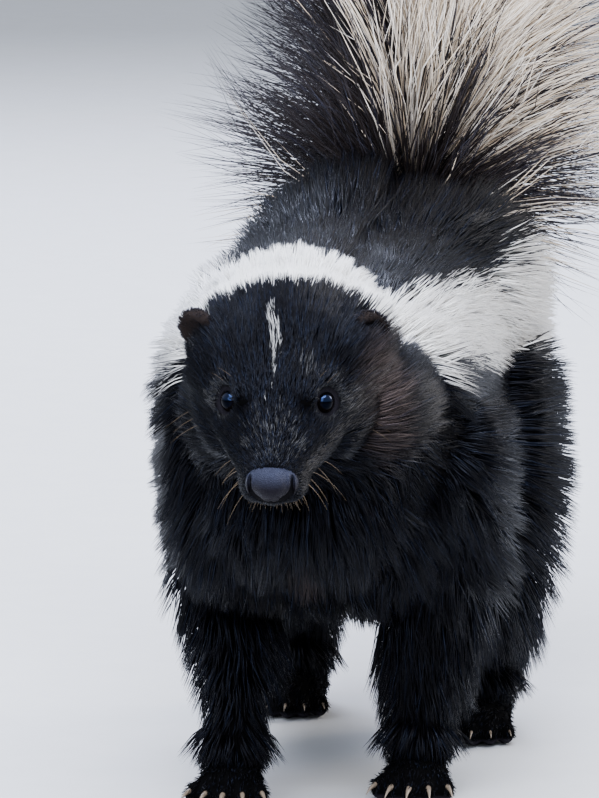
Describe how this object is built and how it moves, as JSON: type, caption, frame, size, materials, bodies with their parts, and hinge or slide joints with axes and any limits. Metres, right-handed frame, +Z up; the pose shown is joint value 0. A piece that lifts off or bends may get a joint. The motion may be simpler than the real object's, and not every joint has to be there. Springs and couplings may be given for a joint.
{
  "type": "striped skunk",
  "caption": "Still, life-size model of a young striped skunk that walks with its head low and its bushy tail raised, on flat soles.",
  "frame": {"origin": "middle of the whole model's box, on the floor under the soles", "axes": "the animal faces -Y, its left side is +X, +Z is up"},
  "size_m": [0.175, 0.4368, 0.3546],
  "materials": {
    "black_fur": "long glossy black hair",
    "white_fur": "long soft white hair",
    "nose_leather": "fine-grained, slightly moist",
    "eye": "wet and glossy",
    "dark_paw": "short black hair with brownish horn claws"
  },
  "bodies": {
    "root": {"head": "black_fur", "nose": "nose_leather", "eye_left": "eye", "eye_right": "eye", "ear_left": "black_fur", "ear_right": "black_fur", "neck": "white_fur", "torso": "black_fur", "leg_front_left": "black_fur", "leg_front_right": "black_fur", "leg_hind_left": "black_fur", "leg_hind_right": "black_fur", "paw_front_left": "dark_paw", "paw_front_right": "dark_paw", "paw_hind_left": "dark_paw", "paw_hind_right": "dark_paw", "tail": "black_fur"}
  },
  "joints": []
}
